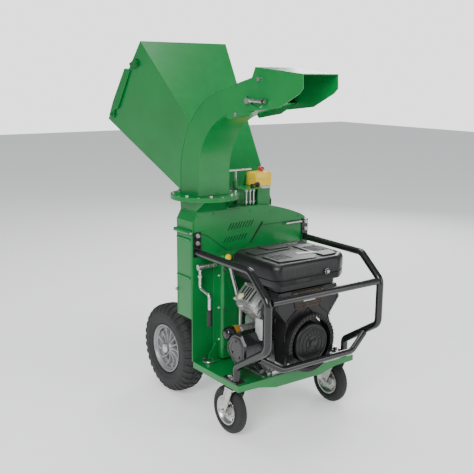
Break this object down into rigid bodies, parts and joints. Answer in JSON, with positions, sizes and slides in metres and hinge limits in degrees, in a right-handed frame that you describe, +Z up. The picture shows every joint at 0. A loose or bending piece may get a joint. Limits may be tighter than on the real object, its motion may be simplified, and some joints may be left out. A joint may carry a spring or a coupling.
{
  "type": "wheeled wood chipper",
  "caption": "Engine-driven disc wood chipper on wheels with a tapered feed hopper, swivelling discharge chute, tilting hood and belt drive.",
  "frame": {"origin": "centre of the bounding box at floor level", "axes": "+Y towards the feed hopper's mouth, -Y the engine and bumper end, +Z up, +X the machine's right-hand side seen from the bumper facing the hopper"},
  "size_m": [0.7139, 1.7072, 1.5831],
  "materials": {
    "green_paint": "semi-gloss powder coat",
    "dark_frame": "semi-gloss powder coat",
    "black_paint": "satin black paint",
    "zinc_steel": "zinc plated",
    "bare_steel": "machined",
    "cast_grey": "as cast",
    "cast_alu": "die cast",
    "black_plastic": "fine texture",
    "grey_plastic": "moulded",
    "yellow_plastic": "moulded",
    "red_plastic": "moulded",
    "oil_filter_paint": "gloss",
    "tyre_rubber": "moulded tread",
    "black_rubber": "moulded"
  },
  "bodies": {
    "chassis": {"deck": "green_paint", "chassis_rails": "dark_frame", "axle_beam": "dark_frame", "bulkhead_plate": "green_paint", "housing_lower": "green_paint", "belt_guard": "green_paint", "rotor_bearings": "cast_grey", "anvil_knife": "bare_steel", "bumper_side_left": "black_paint", "bumper_side_right": "black_paint", "bumper_crossbars": "black_paint", "frame_fasteners": "zinc_steel", "lashing_ring": "zinc_steel", "hopper": "green_paint", "hopper_throat": "green_paint", "hopper_brackets": "dark_frame", "drive_belts": "black_rubber", "engine_crankcase": "cast_alu", "engine_cylinders": "cast_alu", "rocker_covers": "cast_alu", "blower_housing": "black_plastic", "air_cleaner_base": "black_plastic", "air_cleaner_cover": "black_plastic", "oil_filter": "oil_filter_paint", "muffler": "black_paint"},
    "feed_tray": {"feed_tray": "green_paint"},
    "upper_housing": {"housing_upper": "green_paint", "cover_panel": "green_paint", "cover_handle": "zinc_steel", "control_bracket": "green_paint", "lift_bar": "zinc_steel", "stop_box": "yellow_plastic"},
    "stop_button": {"stop_button": "red_plastic"},
    "latch_lever": {"latch_lever": "black_plastic"},
    "chute": {"chute": "green_paint", "chute_fasteners": "zinc_steel"},
    "hood": {"hood": "green_paint"},
    "clamp": {"clamp_lever": "zinc_steel"},
    "rotor": {"rotor_disc": "cast_grey", "rotor_knives": "bare_steel", "rotor_shaft": "bare_steel", "rotor_pulley": "cast_grey"},
    "crank": {"crankshaft": "bare_steel", "flywheel_screen": "black_plastic"},
    "idler_arm": {"idler_arm": "cast_grey"},
    "idler_pulley": {"idler_pulley": "cast_grey"},
    "tension_lever": {"tension_lever": "zinc_steel", "lever_grip": "black_rubber"},
    "cover_knob": {"cover_knob": "black_plastic"},
    "filler_cap": {"filler_cap": "yellow_plastic"},
    "wheel_left": {"tyre_left": "tyre_rubber", "rim_left": "grey_plastic"},
    "wheel_right": {"tyre_right": "tyre_rubber", "rim_right": "grey_plastic"},
    "castor_left": {"castor_fork_left": "zinc_steel"},
    "castor_right": {"castor_fork_right": "zinc_steel"},
    "castor_wheel_left": {"castor_tyre_left": "black_rubber", "castor_rim_left": "zinc_steel"},
    "castor_wheel_right": {"castor_tyre_right": "black_rubber", "castor_rim_right": "zinc_steel"}
  },
  "joints": [
    {"name": "wheel_left_spin", "type": "hinge", "parent": "chassis", "child": "wheel_left", "pos_m": [-0.222, 0.08544, 0.203], "axis": [1, 0, 0], "continuous": true},
    {"name": "wheel_right_spin", "type": "hinge", "parent": "chassis", "child": "wheel_right", "pos_m": [0.222, 0.08544, 0.203], "axis": [1, 0, 0], "continuous": true},
    {"name": "castor_left_swivel", "type": "hinge", "parent": "chassis", "child": "castor_left", "pos_m": [-0.275, -0.47456, 0.22], "axis": [0, 0, 1], "continuous": true},
    {"name": "castor_right_swivel", "type": "hinge", "parent": "chassis", "child": "castor_right", "pos_m": [0.275, -0.47456, 0.22], "axis": [0, 0, 1], "continuous": true},
    {"name": "castor_left_roll", "type": "hinge", "parent": "castor_left", "child": "castor_wheel_left", "pos_m": [-0.275, -0.43156, 0.1], "axis": [1, 0, 0], "continuous": true},
    {"name": "castor_right_roll", "type": "hinge", "parent": "castor_right", "child": "castor_wheel_right", "pos_m": [0.275, -0.43156, 0.1], "axis": [1, 0, 0], "continuous": true},
    {"name": "rotor_spin", "type": "hinge", "parent": "chassis", "child": "rotor", "pos_m": [0, -0.13456, 0.632], "axis": [0, 1, 0], "continuous": true},
    {"name": "crank_spin", "type": "hinge", "parent": "chassis", "child": "crank", "pos_m": [0, -0.43456, 0.378], "axis": [0, 1, 0], "continuous": true},
    {"name": "lever_swing", "type": "hinge", "parent": "chassis", "child": "tension_lever", "pos_m": [-0.29, -0.23456, 0.655], "axis": [-1, 0, 0], "range_deg": [0, 55]},
    {"name": "idler_arm_swing", "type": "hinge", "parent": "chassis", "child": "idler_arm", "pos_m": [-0.15, -0.22256, 0.56], "axis": [0, 1, 0], "range_deg": [0, 9]},
    {"name": "idler_spin", "type": "hinge", "parent": "idler_arm", "child": "idler_pulley", "pos_m": [-0.084, -0.24656, 0.505], "axis": [0, 1, 0], "continuous": true},
    {"name": "housing_open", "type": "hinge", "parent": "chassis", "child": "upper_housing", "pos_m": [-0.3223, -0.14956, 0.797], "axis": [0, -1, 0], "range_deg": [0, 85]},
    {"name": "chute_swivel", "type": "hinge", "parent": "upper_housing", "child": "chute", "pos_m": [-0.214, -0.15356, 0.937], "axis": [0, 0, 1], "range_deg": [-150, 100]},
    {"name": "hood_tilt", "type": "hinge", "parent": "chute", "child": "hood", "pos_m": [-0.214, -0.61856, 1.418], "axis": [1, 0, 0], "range_deg": [-8, 40]},
    {"name": "clamp_turn", "type": "hinge", "parent": "chute", "child": "clamp", "pos_m": [-0.304, -0.56456, 1.341], "axis": [1, 0, 0], "range_deg": [-30, 90]},
    {"name": "latch_turn", "type": "hinge", "parent": "upper_housing", "child": "latch_lever", "pos_m": [0.01, -0.18656, 0.955], "axis": [0, 0, -1], "range_deg": [0, 90]},
    {"name": "stop_press", "type": "slide", "parent": "upper_housing", "child": "stop_button", "axis": [0, 0, -1], "range_m": [0, 0.0038], "stiffness_N_per_m": 1500, "springref_m": -0.001},
    {"name": "tray_fold", "type": "hinge", "parent": "chassis", "child": "feed_tray", "pos_m": [0.102, 0.79944, 1.229], "axis": [-1, 0, 0], "range_deg": [0, 115]},
    {"name": "cover_knob_turn", "type": "hinge", "parent": "chassis", "child": "cover_knob", "pos_m": [0.056, -0.62256, 0.672], "axis": [0, 1, 0], "range_deg": [0, 180]},
    {"name": "filler_cap_turn", "type": "hinge", "parent": "chassis", "child": "filler_cap", "pos_m": [-0.187, -0.28856, 0.695], "axis": [0, 0, 1], "range_deg": [0, 120]}
  ],
  "couplings": [
    {"joint": "crank_spin", "follows": "rotor_spin", "ratio": 1.1915},
    {"joint": "idler_arm_swing", "follows": "lever_swing", "ratio": 0.15}
  ]
}
